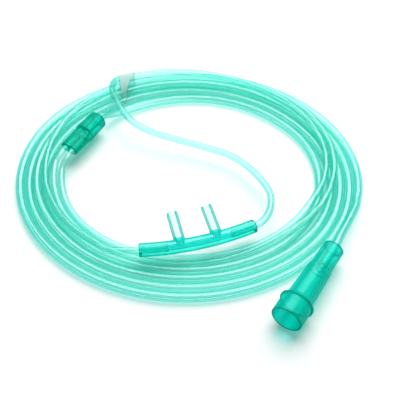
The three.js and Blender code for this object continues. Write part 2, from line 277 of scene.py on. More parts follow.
@dataclass(frozen=True)
class TissueTape:
    """Thin greyish white paper tape that a little light comes through."""

    name: str = "tie_paper"
    light: Colour = (0.97, 0.98, 0.975)
    dark: Colour = (0.88, 0.91, 0.90)
    fibre_scale: float = 900.0
    glow_share: float = 0.6
    cover: float = 0.68

    def make(self) -> bpy.types.Material:
        """Builds the material.

        Returns:
            The finished material.
        """
        nodes = Nodes(self.name)
        body = nodes.add("ShaderNodeBsdfPrincipled", Roughness=0.6)
        glow = nodes.add("ShaderNodeBsdfTranslucent")
        fibre = nodes.object_noise(self.fibre_scale, 5.0)
        tone = nodes.blend(fibre, self.dark, self.light)
        nodes.join(tone, body.inputs["Base Color"])
        nodes.join(tone, glow.inputs["Color"])
        bump = nodes.add("ShaderNodeBump", Strength=0.3, Distance=0.0002)
        nodes.join(fibre, bump.inputs["Height"])
        nodes.join(bump.outputs[0], body.inputs["Normal"])
        thin = nodes.mixed(self.glow_share, body, glow)
        film = nodes.mixed(self.cover, nodes.add("ShaderNodeBsdfTransparent"), thin)
        nodes.join(film.outputs[0], nodes.output.inputs["Surface"])
        return nodes.material


@dataclass(frozen=True)
class PaleFloor:
    """The plain white floor."""

    name: str = "white_floor"
    colour: Colour = (0.93, 0.93, 0.93)

    def make(self) -> bpy.types.Material:
        """Builds the material.

        Returns:
            The finished material.
        """
        nodes = Nodes(self.name)
        body = nodes.add("ShaderNodeBsdfDiffuse", Color=(*self.colour, 1))
        nodes.join(body.outputs[0], nodes.output.inputs["Surface"])
        return nodes.material


TUBE_VINYL = ClearVinyl(
    "tube_vinyl",
    clear=(0.885, 0.996, 0.986),
    edge=(0.42, 0.90, 0.84),
    body=(0.20, 0.90, 0.80),
    milk=0.05,
    milk_edge=0.28,
    roughness=0.13,
    mirror=0.045,
)
FITTING_VINYL = ClearVinyl(
    "fitting_vinyl",
    clear=(0.16, 0.95, 0.89),
    edge=(0.01, 0.62, 0.52),
    body=(0.0, 0.74, 0.58),
    milk=0.16,
    milk_edge=0.45,
    roughness=0.30,
    mirror=0.012,
    mirror_edge=0.06,
    shine=(0.30, 1.0, 0.92),
)
NOSE_VINYL = ClearVinyl(
    "nosepiece_vinyl",
    clear=(0.27, 0.965, 0.93),
    edge=(0.0, 0.74, 0.66),
    body=(0.0, 0.84, 0.73),
    milk=0.12,
    milk_edge=0.42,
    roughness=0.15,
    mirror=0.045,
    mirror_edge=0.12,
    shine=(0.75, 1.0, 0.97),
)
PRONG_VINYL = ClearVinyl(
    "prong_vinyl",
    clear=(0.96, 0.999, 0.998),
    edge=(0.0, 0.70, 0.62),
    body=(0.0, 0.84, 0.75),
    milk=0.012,
    milk_edge=0.42,
    rim_start=0.15,
    rim_end=0.75,
    roughness=0.14,
    mirror=0.03,
    mirror_edge=0.10,
    shine=(0.6, 1.0, 0.96),
)
FUNNEL_VINYL = ClearVinyl(
    "funnel_vinyl",
    clear=(0.24, 0.985, 0.955),
    edge=(0.0, 0.74, 0.66),
    body=(0.0, 0.90, 0.77),
    milk=0.14,
    milk_edge=0.42,
    roughness=0.26,
    mirror=0.02,
    mirror_edge=0.06,
    shine=(0.55, 1.0, 0.95),
)
MOUTH_VINYL = ClearVinyl(
    "funnel_mouth_vinyl",
    clear=(0.14, 0.945, 0.895),
    edge=(0.0, 0.66, 0.57),
    body=(0.0, 0.80, 0.69),
    milk=0.18,
    milk_edge=0.46,
    roughness=0.22,
    mirror=0.02,
    mirror_edge=0.06,
    shine=(0.45, 1.0, 0.94),
)
RIM_VINYL = ClearVinyl(
    "thick_rim_vinyl",
    clear=(0.02, 0.58, 0.50),
    edge=(0.0, 0.46, 0.38),
    body=(0.0, 0.50, 0.40),
    milk=0.35,
    milk_edge=0.55,
    roughness=0.25,
    mirror=0.01,
    mirror_edge=0.04,
    shine=(0.2, 1.0, 0.9),
)


# Shared making of meshes


def set_sharp(bm: bmesh.types.BMesh, angle: float = 35.0) -> None:
    """Shades a shape smooth, but for its sharp edges.

    Args:
        bm: The shape.
        angle: Edges over this many degrees stay sharp.
    """
    for face in bm.faces:
        face.smooth = True
    for edge in bm.edges:
        edge.smooth = len(edge.link_faces) != 2 or edge.calc_face_angle() < math.radians(angle)


def outer_ring(made: list[object]) -> tuple[list[bmesh.types.BMVert], list[bmesh.types.BMEdge]]:
    """Picks the new ring out of what an extrusion of edges made.

    Args:
        made: The extrusion's geometry.

    Returns:
        The ring's vertices and its edges.
    """
    verts = [item for item in made if isinstance(item, bmesh.types.BMVert)]
    edges = [
        item
        for item in made
        if isinstance(item, bmesh.types.BMEdge) and all(v in verts for v in item.verts)
    ]
    return verts, edges


def finished(bm: bmesh.types.BMesh, name: str, material: bpy.types.Material) -> bpy.types.Object:
    """Turns a bmesh in millimetres into an object at the origin, in metres.

    Args:
        bm: The shape, which is freed.
        name: The piece's name.
        material: Its finish.

    Returns:
        The object, linked to the scene.
    """
    bmesh.ops.remove_doubles(bm, verts=bm.verts, dist=1e-4)
    bmesh.ops.recalc_face_normals(bm, faces=bm.faces)
    bmesh.ops.scale(bm, vec=(MM, MM, MM), verts=bm.verts)
    set_sharp(bm)
    mesh = bpy.data.meshes.new(name)
    bm.to_mesh(mesh)
    bm.free()
    mesh.materials.append(material)
    piece = bpy.data.objects.new(name, mesh)
    bpy.context.scene.collection.objects.link(piece)
    return piece


def turned(profile: list[tuple[float, float]], sides: int, place: Vector) -> bmesh.types.BMesh:
    """Turns a closed profile about an axis along Y.

    Args:
        profile: Points of radius and place along Y, in millimetres, round the closed section.
        sides: Steps of the full turn.
        place: Where the profile's origin goes.

    Returns:
        The turned shape.
    """
    bm = bmesh.new()
    points = [bm.verts.new((radius, along, 0)) for radius, along in profile]
    edges = [bm.edges.new((a, b)) for a, b in zip(points, points[1:] + points[:1])]
    bmesh.ops.spin(
        bm,
        geom=points + edges,
        axis=(0, 1, 0),
        cent=(0, 0, 0),
        angle=2 * math.pi,
        steps=sides,
        use_merge=True,
    )
    bmesh.ops.translate(bm, vec=place, verts=bm.verts)
    return bm


def frames_along(points: list[Vector]) -> list[Matrix]:
    """Sets a frame at each point of a line, its Z along the line, with no needless twist.

    Args:
        points: The line's points.

    Returns:
        One matrix for each point.
    """
    tangents = []
    for i in range(len(points)):
        tangents.append((points[min(i + 1, len(points) - 1)] - points[max(i - 1, 0)]).normalized())
    side = tangents[0].orthogonal().normalized()
    frames = []
    for point, tangent in zip(points, tangents):
        side = (side - tangent * side.dot(tangent)).normalized()
        turn = Matrix((side, tangent.cross(side), tangent)).transposed()
        frames.append(Matrix.Translation(point) @ turn.to_4x4())
    return frames


def swept(points: list[Vector], radii: list[float], sides: int) -> bmesh.types.BMesh:
    """Sweeps a round section along a line and closes both ends.

    Args:
        points: The line's points, in millimetres.
        radii: The section's radius at each point.
        sides: Sides of the section.

    Returns:
        The swept shape.
    """
    bm = bmesh.new()
    frames = frames_along(points)
    bmesh.ops.create_circle(bm, cap_ends=False, radius=radii[0], segments=sides, matrix=frames[0])
    edges = list(bm.edges)
    first = list(edges)
    for before, after, old, new in zip(frames, frames[1:], radii, radii[1:]):
        verts, edges = outer_ring(bmesh.ops.extrude_edge_only(bm, edges=edges)["geom"])
        move = after @ Matrix.Scale(new / old, 4) @ before.inverted()
        bmesh.ops.transform(bm, matrix=move, verts=verts)
    for end in (first, edges):
        bmesh.ops.contextual_create(bm, geom=end)
    bmesh.ops.recalc_face_normals(bm, faces=bm.faces)
    return bm


def carved(whole: bpy.types.Object, parts: list[bpy.types.Object], kind: str) -> None:
    """Joins parts to a shape or cuts them from it, and applies the result.

    Args:
        whole: The shape that is kept.
        parts: The shapes that are joined or cut, which are deleted.
        kind: UNION or DIFFERENCE.
    """
    for part in parts:
        cut = whole.modifiers.new("cut", "BOOLEAN")
        cut.operation = kind
        cut.solver = "EXACT"
        cut.object = part
        graph = bpy.context.evaluated_depsgraph_get()
        mesh = bpy.data.meshes.new_from_object(whole.evaluated_get(graph))
        whole.modifiers.clear()
        old = whole.data
        mesh.name = old.name
        whole.data = mesh
        bpy.data.meshes.remove(old)
        bpy.data.objects.remove(part)


def dressed(
    piece: bpy.types.Object, finish: bpy.types.Material, chosen: Callable[[Vector], bool]
) -> None:
    """Gives some faces of a piece a second finish.

    Args:
        piece: The object.
        finish: The second finish.
        chosen: Tells, from the middle of a face in millimetres, whether the face takes it.
    """
    piece.data.materials.append(finish)
    slot = len(piece.data.materials) - 1
    for face in piece.data.polygons:
        if chosen(face.center / MM):
            face.material_index = slot


def crisp(piece: bpy.types.Object, move: Vector = Vector()) -> None:
    """Moves a carved piece's mesh to its place and shades it smooth, but for its sharp edges.

    Args:
        piece: The object.
        move: The move, in millimetres.
    """
    bm = bmesh.new()
    bm.from_mesh(piece.data)
    bmesh.ops.translate(bm, vec=move * MM, verts=bm.verts)
    set_sharp(bm)
    bm.to_mesh(piece.data)
    bm.free()


# The tubing


@dataclass(frozen=True)
class Lane:
    """One tube's way round the coil.

    Stations are (angle, inward, height): the unwrapped angle on the oval in degrees, the distance
    inside the oval and the height of the tube's middle, in millimetres.
    """

    radius: float
    stations: tuple[Station, ...]

    def nodes(self, step: float) -> tuple[np.ndarray, np.ndarray, np.ndarray]:
        """Samples the lane at the whole steps between its ends.

        Args:
            step: Degrees between two nodes.

        Returns:
            The angles, the inward distances and the heights.
        """
        rows = np.array(sorted(self.stations))
        low = math.ceil(rows[0, 0] / step)
        high = math.floor(rows[-1, 0] / step)
        angles = np.arange(low, high + 1) * step
        inward = np.interp(angles, rows[:, 0], rows[:, 1])
        height = np.interp(angles, rows[:, 0], rows[:, 2])
        return angles, inward, height


def level_pass(start: float, height: float, inward: tuple[float, ...]) -> list[Station]:
    """Lays a tube at one height, clockwise, with a station for each 15 degrees.

    Args:
        start: The first station's angle.
        height: The height of the tube's middle.
        inward: The distance inside the oval at each station.

    Returns:
        The stations.
    """
    return [(start - 15 * step, distance, height) for step, distance in enumerate(inward)]


@dataclass
class TubeBundle:
    """The tubes of the coil, let settle beside and on each other."""

    lanes: list[Lane]
    step: float = 3.0
    rounds: int = 900
    gap: float = 0.06
    held: int = 2
    first_pull: float = 0.06
    last_pull: float = 0.004
    upright_share: float = 0.3
    sink: float = 0.012
    smoothing: float = 0.35

    def settle(self) -> list[list[Vector]]:
        """Pushes the tubes apart, down and smooth until they lie on each other.

        Returns:
            The middle line of each tube, in the order of the lanes.
        """
        sampled = [lane.nodes(self.step) for lane in self.lanes]
        angles = np.concatenate([s[0] for s in sampled])
        inward = np.concatenate([s[1] for s in sampled])
        height = np.concatenate([s[2] for s in sampled])
        radius = np.concatenate([np.full(len(s[0]), l.radius) for s, l in zip(sampled, self.lanes)])
        ends = np.cumsum([0] + [len(s[0]) for s in sampled])
        free = np.ones(len(angles), dtype=bool)
        inner = np.ones(len(angles), dtype=bool)
        for start, stop in zip(ends, ends[1:]):
            free[start : start + self.held] = False
            free[stop - self.held : stop] = False
            inner[start] = inner[stop - 1] = False
        place = np.stack([inward, height], axis=1)
        wanted = place.copy()
        station = np.round(angles / self.step).astype(int) % round(360 / self.step)
        pairs = []
        for s in range(round(360 / self.step)):
            here = np.nonzero(station == s)[0]
            pairs += [(a, b) for i, a in enumerate(here) for b in here[i + 1 :]]
        first, second = np.array(pairs).T
        reach = radius[first] + radius[second] + self.gap
        movable = np.nonzero(free)[0]
        middle = np.nonzero(inner & free)[0]
        for turn in range(self.rounds):
            share = turn / self.rounds
            pull = self.first_pull * (1 - share) ** 2 + self.last_pull
            place[movable, 0] += pull * (wanted[movable, 0] - place[movable, 0])
            rise = wanted[movable, 1] - place[movable, 1]
            place[movable, 1] += self.upright_share * pull * rise - self.sink
            curve = place[middle - 1] + place[middle + 1] - 2 * place[middle]
            place[middle] += self.smoothing * curve
            for _ in range(2):
                apart = place[first] - place[second]
                distance = np.maximum(np.hypot(apart[:, 0], apart[:, 1]), 1e-6)
                short = reach - distance
                touching = short > 0
                a, b = first[touching], second[touching]
                push = apart[touching] / distance[touching, None] * short[touching, None] * 0.5
                move = np.zeros_like(place)
                count = np.zeros(len(place))
                np.add.at(move, a, push)
                np.add.at(move, b, -push)
                np.add.at(count, a, 1)
                np.add.at(count, b, 1)
                move /= np.maximum(count, 1)[:, None] ** 0.5
                place[movable] += move[movable]
                place[:, 1] = np.maximum(place[:, 1], radius)
        return [
            [
                OVAL.place(float(angles[i]), float(place[i, 0]), float(place[i, 1]))
                for i in range(start, stop)
            ]
            for start, stop in zip(ends, ends[1:])
        ]


def fair_line(points: list[Vector], spacing: float) -> list[Vector]:
    """Runs a smooth curve through points and spaces it evenly.

    Args:
        points: The points, in millimetres.
        spacing: Distance between the points of the result.

    Returns:
        The evenly spaced points, with the first and the last point kept.
    """
    dense = []
    padded = [2 * points[0] - points[1], *points, 2 * points[-1] - points[-2]]
    for p0, p1, p2, p3 in zip(padded, padded[1:], padded[2:], padded[3:]):
        knots = [0.0]
        for a, b in ((p0, p1), (p1, p2), (p2, p3)):
            knots.append(knots[-1] + max((b - a).length, 1e-6) ** 0.5)
        t0, t1, t2, t3 = knots
        for i in range(12):
            t = t1 + (t2 - t1) * i / 12
            a1 = p0 * ((t1 - t) / (t1 - t0)) + p1 * ((t - t0) / (t1 - t0))
            a2 = p1 * ((t2 - t) / (t2 - t1)) + p2 * ((t - t1) / (t2 - t1))
            a3 = p2 * ((t3 - t) / (t3 - t2)) + p3 * ((t - t2) / (t3 - t2))
            b1 = a1 * ((t2 - t) / (t2 - t0)) + a2 * ((t - t0) / (t2 - t0))
            b2 = a2 * ((t3 - t) / (t3 - t1)) + a3 * ((t - t1) / (t3 - t1))
            dense.append(b1 * ((t2 - t) / (t2 - t1)) + b2 * ((t - t1) / (t2 - t1)))
    dense.append(points[-1])
    rows = np.array([list(p) for p in dense])
    along = np.concatenate([[0], np.cumsum(np.linalg.norm(np.diff(rows, axis=0), axis=1))])
    count = max(2, round(along[-1] / spacing))
    wanted = np.linspace(0, along[-1], count + 1)
    even = np.stack([np.interp(wanted, along, rows[:, k]) for k in range(3)], axis=1)
    return [Vector(row) for row in even]


def line_length(points: list[Vector]) -> float:
    """Gives the length of a line through points."""
    return sum((b - a).length for a, b in zip(points, points[1:]))


class FarEnd(Enum):
    """Where a tube's far end goes."""

    CONNECTOR = "connector"
    OBJECT = "object"


@dataclass
class SoftTube:
    """One clear tube, with its bore, along its settled route."""

    name: str
    route: list[Vector]
    outer: float
    bore: float
    leaves: Vector
    far_end: FarEnd
    lay: str
    stands_for: tuple[str, ...]
    sides: int = 24
    spacing: float = 1.7

    def make(self, finish: bpy.types.Material) -> bpy.types.Object:
        """Builds the tube as one open curve with a wall.

        Args:
            finish: The tube's material.

        Returns:
            The tube.
        """
        line = fair_line(self.route, self.spacing)
        curve = bpy.data.curves.new(self.name, "CURVE")
        curve.dimensions = "3D"
        curve.bevel_depth = self.outer / 2 * MM
        curve.bevel_resolution = self.sides // 2 - 2
        curve.use_fill_caps = False
        curve.twist_mode = "MINIMUM"
        spline = curve.splines.new("POLY")
        spline.points.add(len(line) - 1)
        for point, place in zip(spline.points, line):
            point.co = (*(place * MM), 1)
        spline.use_smooth = True
        curve.materials.append(finish)
        piece = bpy.data.objects.new(self.name, curve)
        bpy.context.scene.collection.objects.link(piece)
        wall = piece.modifiers.new("wall", "SOLIDIFY")
        wall.thickness = (self.outer - self.bore) / 2 * MM
        wall.offset = -1
        self.length = line_length(line)
        return piece

    def declare(self, piece: bpy.types.Object, carried: list[object]) -> None:
        """Attaches the tube to the root body and hides the solids it stands for.

        Args:
            piece: The tube.
            carried: Pieces on its far end; not used.
        """
        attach(piece, "root")
        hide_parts(*self.stands_for)
        log.info("%s: %.0f mm long", self.name, self.length)


@dataclass
class Tubing:
    """All three tubes: the supply tube in its coil and the two loop tubes."""

    supply_outer: float = 4.6
    supply_bore: float = 3.0
    loop_outer: float = 3.6
    loop_bore: float = 2.1

    def supply_lane(self) -> Lane:
        """Gives the supply tube's lane, clockwise from the Y inwards out to the funnel."""
        low = self.supply_outer / 2
        on_top = 6.4
        leaves_y = [(123.5, 20.2, 4.2), (117, 19.2, 2.8), (109, 17.6, low), (102, 16.6, low)]
        first_turns = (
            15.6, 14.8, 14.8, 16.6, 17.6, 19.0, 21.6, 22.4, 21.8, 20.8, 19.6, 19.0,
            18.9, 18.6, 18.0, 17.6, 16.4, 14.8, 13.0, 11.6, 10.4, 9.8, 9.8, 9.8,
            10.4, 10.2, 10.6, 12.2, 13.4, 13.4, 12.9, 12.4, 12.0, 12.8, 13.8, 14.4, 14.0,
        )
        climbs = [(-465, 13.9, 2.6), (-480, 14.0, 4.0), (-495, 14.8, 5.8)]
        crosses = (13.9, 11.8, 9.7, 7.6, 6.2, 5.8, 6.0, 6.6, 7.6, 7.6)
        comes_down = [
            (-660, 8.0, 6.2), (-672, 9.4, 5.6), (-684, 10.6, 4.6), (-696, 10.2, 3.2),
            (-708, 9.4, 2.4),
        ]
        last_turns = (
            8.9, 8.8, 8.6, 8.4, 8.4, 8.5, 8.3, 8.1, 8.0, 8.6, 9.6, 9.0, 7.3, 5.6, 4.9, 4.8,
            5.0, 5.4, 5.9, 5.8, 5.6, 5.2, 4.8, 4.6, 4.9, 5.4, 4.8, 3.6, 3.2, 3.0, 2.6, 2.8,
            3.6, 4.6, 4.8, 4.3, 2.8, 1.0, 0.2, 0.1, 0.5, 0.9, 1.3, 1.1, 0.8, 0.4, -0.2, 0.4,
        )
        to_funnel = [(-1437, 0.9, 2.6), (-1446, 0.8, 3.6), (-1455, 0.3, 5.2)]
        stations = [
            *leaves_y,
            *level_pass(90, low, first_turns),
            *climbs,
            *level_pass(-510, on_top, crosses),
            *comes_down,
            *level_pass(-720, low, last_turns),
            *to_funnel,
        ]
        return Lane(low, tuple(stations))

    def outer_loop_lane(self) -> Lane:
        """Gives the left loop tube's lane, from the Y to the nosepiece's left end."""
        return Lane(
            self.loop_outer / 2,
            (
                (171, 19.3, 7.6), (180, 18.7, 5.4), (190, 19.2, 3.2), (200, 20.0, 1.8),
                (215, 21.2, 1.8), (230, 21.8, 1.8), (245, 22.3, 1.8), (260, 22.8, 1.8),
                (285, 23.2, 1.8), (300, 23.0, 1.8), (312, 22.0, 4.0), (326, 18.8, 6.4),
                (340, 17.6, 6.4), (350, 15.6, 6.4), (356, 14.3, 6.4), (363, 12.0, 6.6),
                (371, 9.8, 6.8), (378, 8.2, 6.8), (388, 5.8, 6.6), (398, 3.6, 6.4),
                (410, 2.6, 6.2), (425, 2.8, 6.2), (440, 3.4, 6.2), (455, 3.8, 6.4),
                (470, 4.2, 6.8), (485, 5.4, 7.6), (498, 7.6, 8.4), (510, 9.8, 9.4),
                (522, 12.6, 9.4), (533, 15.4, 8.6), (544, 16.6, 7.4), (555, 18.4, 6.6),
                (570, 19.0, 6.6), (585, 19.0, 7.2), (594, 18.0, 7.8),
            ),
        )

    def inner_loop_lane(self) -> Lane:
        """Gives the right loop tube's lane, from the Y round to the tie."""
        return Lane(
            self.loop_outer / 2,
            (
                (174, 23.4, 7.0), (183, 22.6, 4.2), (192, 22.6, 2.2), (202, 23.2, 1.8),
                (215, 24.4, 1.8), (230, 25.4, 1.8), (245, 26.2, 1.8), (260, 26.6, 1.8),
                (285, 27.0, 1.8), (300, 27.0, 1.8), (315, 26.2, 1.8), (326, 25.6, 2.2),
                (335, 24.2, 4.2), (343, 22.0, 6.0), (355, 18.6, 6.4), (364, 15.5, 6.6),
                (371.5, 13.2, 6.6), (379, 11.0, 6.8), (390, 7.8, 7.4), (398, 5.4, 8.4),
                (405, 4.2, 9.4), (415, 4.0, 9.4), (430, 4.6, 9.4), (445, 4.6, 9.6),
                (456, 3.2, 9.2), (468, 1.6, 9.0),
            ),
        )

    def routes(self) -> tuple[list[Vector], list[Vector], list[Vector]]:
        """Settles the coil and joins on the free stretches.

        Returns:
            The routes of the supply tube, the left loop tube and the right loop tube.
        """
        bundle = TubeBundle([self.supply_lane(), self.outer_loop_lane(), self.inner_loop_lane()])
        supply, left, right = bundle.settle()
        supply.reverse()
        fork = YConnector()
        barrel_mouth = Y_SHOULDER + Vector((0, fork.barrel_length, 0))
        in_barrel = fork.barrel_depth - TUBE_SHORT_OF_SOCKET
        in_tail = FunnelConnector().socket_depth - TUBE_SHORT_OF_SOCKET
        in_oval = fork.loop_depth - TUBE_SHORT_OF_SOCKET
        supply = [
            barrel_mouth + Vector((0, -in_barrel, 0)),
            *about(barrel_mouth, [(0, -5, 0), (0, 1.2, 0), (0.3, 4.4, -0.7), (1.3, 8.6, -2.7)]),
            *supply,
            *about(TAIL_END, [(-0.9, 8.4, -0.4), (-0.2, 4.0, -0.1), (0, 0, 0), (0, -6, 0)]),
            TAIL_END + Vector((0, -in_tail, 0)),
        ]
        mouths = [fork.loop_mouth(side) for side in (-1, 1)]
        nose = Nosepiece()
        left = [
            mouths[0] + Vector((0, in_oval, 0)),
            *about(mouths[0], [(0, 5, 0), (0, -0.4, 0), (0.15, -4.4, -0.2)]),
            *left,
            *about(nose.end(-1), [(-13.4, -7.3, -0.9), (-8.1, -5.1, -0.3)]),
            *reversed(nose.inside_socket(-1)),
        ]
        back_left = OVAL.place(114, 0, 10.0)
        before_tie = [
            (55.9, -24.2, -1), (48.5, -26.3, -0.4), (41.2, -28.3, 0.4), (34, -29.6, 1.4),
            (27.5, -29.6, 2.3), (21, -27.8, 3), (14.8, -24.6, 3.4), (8.9, -20.2, 3.5),
        ]
        over_tie = [
            (113.5, 2.1, 9.6), (115.9, 2.2, 10.2), (117.8, 3.0, 11.1), (119.4, 5.0, 12.0),
            (120.9, 7.8, 12.8), (122.2, 11.5, 13.2), (123.1, 15.2, 13.4),
        ]
        past_nose = [
            (1.8, 3.6, 0.1), (2.2, 8.1, 0.1), (1, 14.1, 0), (-2.8, 21.1, -0.1),
            (-7.8, 25.4, -0.2), (-13.3, 28.4, -0.3), (-20.2, 31.3, -0.4), (-28.2, 33.5, -0.5),
            (-36.6, 33.9, -0.5), (-44.4, 32.7, -0.4), (-51.7, 31.1, -0.2),
        ]
        right = [
            mouths[1] + Vector((0, in_oval, 0)),
            *about(mouths[1], [(0, 5, 0), (0, -0.8, 0), (0.3, -5.8, -0.4)]),
            *right,
            *(OVAL.place(*station) for station in over_tie),
            *reversed(about(back_left, before_tie)),
            *reversed(about(nose.end(1), past_nose)),
            *reversed(nose.inside_socket(1)),
        ]
        return supply, left, right

    def build(self, carried: list[object]) -> None:
        """Args:
            carried: The pieces on the supply tube's far end.
        """
        finish = TUBE_VINYL.make()
        fork = YConnector()
        supply, left, right = self.routes()
        tubes = [
            SoftTube(
                "supply_tube", supply, self.supply_outer, self.supply_bore,
                Y_SHOULDER + Vector((0, fork.barrel_length, 0)), FarEnd.CONNECTOR, "coiled",
                ("tube_coil", "supply_tube_at_y", "supply_tube_at_funnel"),
            ),
            SoftTube(
                "loop_tube_left_whole", left, self.loop_outer, self.loop_bore,
                fork.loop_mouth(-1), FarEnd.OBJECT, "coiled",
                ("loop_tube_left_at_y", "loop_tube_left"),
            ),
            SoftTube(
                "loop_tube_right_whole", right, self.loop_outer, self.loop_bore,
                fork.loop_mouth(1), FarEnd.OBJECT, "coiled",
                ("loop_tube_right_at_y", "loop_tube_right"),
            ),
        ]
        for tube in tubes:
            piece = tube.make(finish)
            tube.declare(piece, carried if tube.far_end is FarEnd.CONNECTOR else [])


# The fittings


@dataclass
class Nosepiece:
    """The soft bowed body with a tube socket in each end and two open prongs."""

    chord: float = 57.6
    turn: float = 47.0
    bow: float = 3.0
    diameter: float = 6.8
    passage: float = 2.8
    socket: float = 3.8
    left_socket_depth: float = 14.0
    right_socket_depth: float = 12.0
    prong_spacing: float = 18.4
    prongs_off_middle: float = 0.4
    prong_diameter: float = 5.4
    prong_bore: float = 3.9
    prong_length: float = 16.4
    prong_lean: float = 40.0
    prong_sideways: float = 12.0
    prong_curl: float = 0.9
    prong_root_flare: float = 0.9
    prong_reach: float = 1.2
    lip: float = 0.35
    sides: int = 64

    def along(self) -> Vector:
        """Gives the direction from the left end to the right end."""
        t = math.radians(self.turn)
        return Vector((math.cos(t), math.sin(t), 0))

    def end(self, side: int) -> Vector:
        """Gives the middle of the left (-1) or right (1) end face."""
        return NOSE_MIDDLE + self.along() * (side * self.chord / 2)

    def axis(self, count: int) -> list[Vector]:
        """Gives the bowed axis from left to right.

        Args:
            count: The number of points.

        Returns:
            Evenly spread points.
        """
        a, b = self.end(-1), self.end(1)
        out = Vector((self.along().y, -self.along().x, 0))
        knee = NOSE_MIDDLE + out * (2 * self.bow)
        line = []
        for i in range(count):
            t = i / (count - 1)
            line.append(a * (1 - t) ** 2 + knee * (2 * t * (1 - t)) + b * t**2)
        return line

    def at(self, distance: float) -> tuple[Vector, Vector]:
        """Gives the axis at a distance from its left end.

        Args:
            distance: Distance along the axis, in millimetres.

        Returns:
            The point and the direction to the right.
        """
        line = self.axis(201)
        step = line_length(line) / 200
        i = min(max(distance / step, 0), 199.999)
        k = int(i)
        return line[k].lerp(line[k + 1], i - k), (line[k + 1] - line[k]).normalized()

    def socket_depth(self, side: int) -> float:
        """Gives how deep the left (-1) or right (1) end's socket is."""
        return self.left_socket_depth if side < 0 else self.right_socket_depth

    def inside_socket(self, side: int) -> list[Vector]:
        """Gives the loop tube's last points, from its end in the socket out to the lip."""
        length = line_length(self.axis(201))
        depths = (self.socket_depth(side) - 0.05, 7.0, 1.0)
        return [self.at(d if side < 0 else length - d)[0] for d in depths]

    def prong_axis(self, side: int, past: float, count: int) -> list[Vector]:
        """Gives a prong's axis from the body's axis to its tip.

        Args:
            side: Left (-1) or right (1).
            past: How far the line runs on past the tip.
            count: The number of points up to the tip.

        Returns:
            The points of the axis.
        """
        length = line_length(self.axis(201))
        from_middle = self.prongs_off_middle + side * self.prong_spacing / 2
        root, along = self.at(length / 2 + from_middle)
        back = Vector((-along.y, along.x, 0))
        back.rotate(Matrix.Rotation(math.radians(self.prong_sideways), 3, "Z"))
        lean = math.radians(self.prong_lean)
        rise = Vector((0, 0, math.cos(lean))) + back * math.sin(lean)
        middle = root + rise * (self.prong_length / 2)
        tip = root + rise * self.prong_length + back * self.prong_curl
        line = []
        for i in range(count):
            t = i / (count - 1)
            line.append(root * (1 - t) ** 2 + middle * (2 * t * (1 - t)) + tip * t**2)
        if past:
            line.append(tip + (tip - middle).normalized() * past)
        return line

    def dress_prongs(self, body: bpy.types.Object) -> None:
        """Gives the prongs' thin walls their paler finish.

        Args:
            body: The whole nosepiece.
        """
        line = self.axis(41)
        reach = self.diameter / 2 + self.prong_reach
        body_ends = [(self.end(side), self.along() * side) for side in (-1, 1)]

        def on_prong(middle: Vector) -> bool:
            """Tells whether a face stands clear of the round body."""
            return min((middle - point).length for point in line) > reach

        def on_rim(middle: Vector) -> bool:
            """Tells whether a face is on an end face of the body."""
            return any((middle - end).dot(way) > -0.3 for end, way in body_ends)

        dressed(body, PRONG_VINYL.make(), on_prong)
        dressed(body, RIM_VINYL.make(), on_rim)

    def build(self) -> bpy.types.Object:
        """Returns:
            The piece.
        """
        finish = NOSE_VINYL.make()
        r = self.diameter / 2
        steps = 41
        lip = self.lip
        line = self.axis(steps)
        radii = [r] * steps
        start, end = line[0], line[-1]
        line = [
            start,
            start + (line[1] - start).normalized() * lip,
            *line[1:-1],
            end + (line[-2] - end).normalized() * lip,
            end,
        ]
        radii = [r - lip * 0.8, r, *radii[1:-1], r, r - lip * 0.8]
        body = finished(swept(line, radii, self.sides), "nosepiece_soft", finish)
        joins, cuts = [], []
        for side in (-1, 1):
            outer = self.prong_axis(side, 0, 14)
            flares = [self.prong_root_flare * max(0, 1 - i / 5) ** 2 for i in range(14)]
            radii = [self.prong_diameter / 2 + flare for flare in flares]
            radii[-1] -= 0.25
            joins.append(finished(swept(outer, radii, 48), f"prong_{side}", finish))
            bore = self.prong_axis(side, 1, 14)
            cuts.append(
                finished(swept(bore, [self.prong_bore / 2] * 15, 40), f"bore_{side}", finish)
            )
        cuts.append(
            finished(swept(self.axis(41), [self.passage / 2] * 41, 32), "passage", finish)
        )
        length = line_length(self.axis(201))
        for side in (-1, 1):
            depth = self.socket_depth(side)
            inner = self.at(depth if side < 0 else length - depth)[0]
            mouth = self.end(side)
            outward = (mouth - inner).normalized()
            points = [inner, mouth, mouth + outward]
            radii = [self.socket / 2, self.socket / 2, self.socket / 2]
            cuts.append(finished(swept(points, radii, 40), f"socket_{side}", finish))
        carved(body, joins, "UNION")
        carved(body, cuts, "DIFFERENCE")
        crisp(body)
        self.dress_prongs(body)
        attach(body, "root")
        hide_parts("nosepiece")
        log.info("nosepiece_soft: %d faces", len(body.data.polygons))
        return body


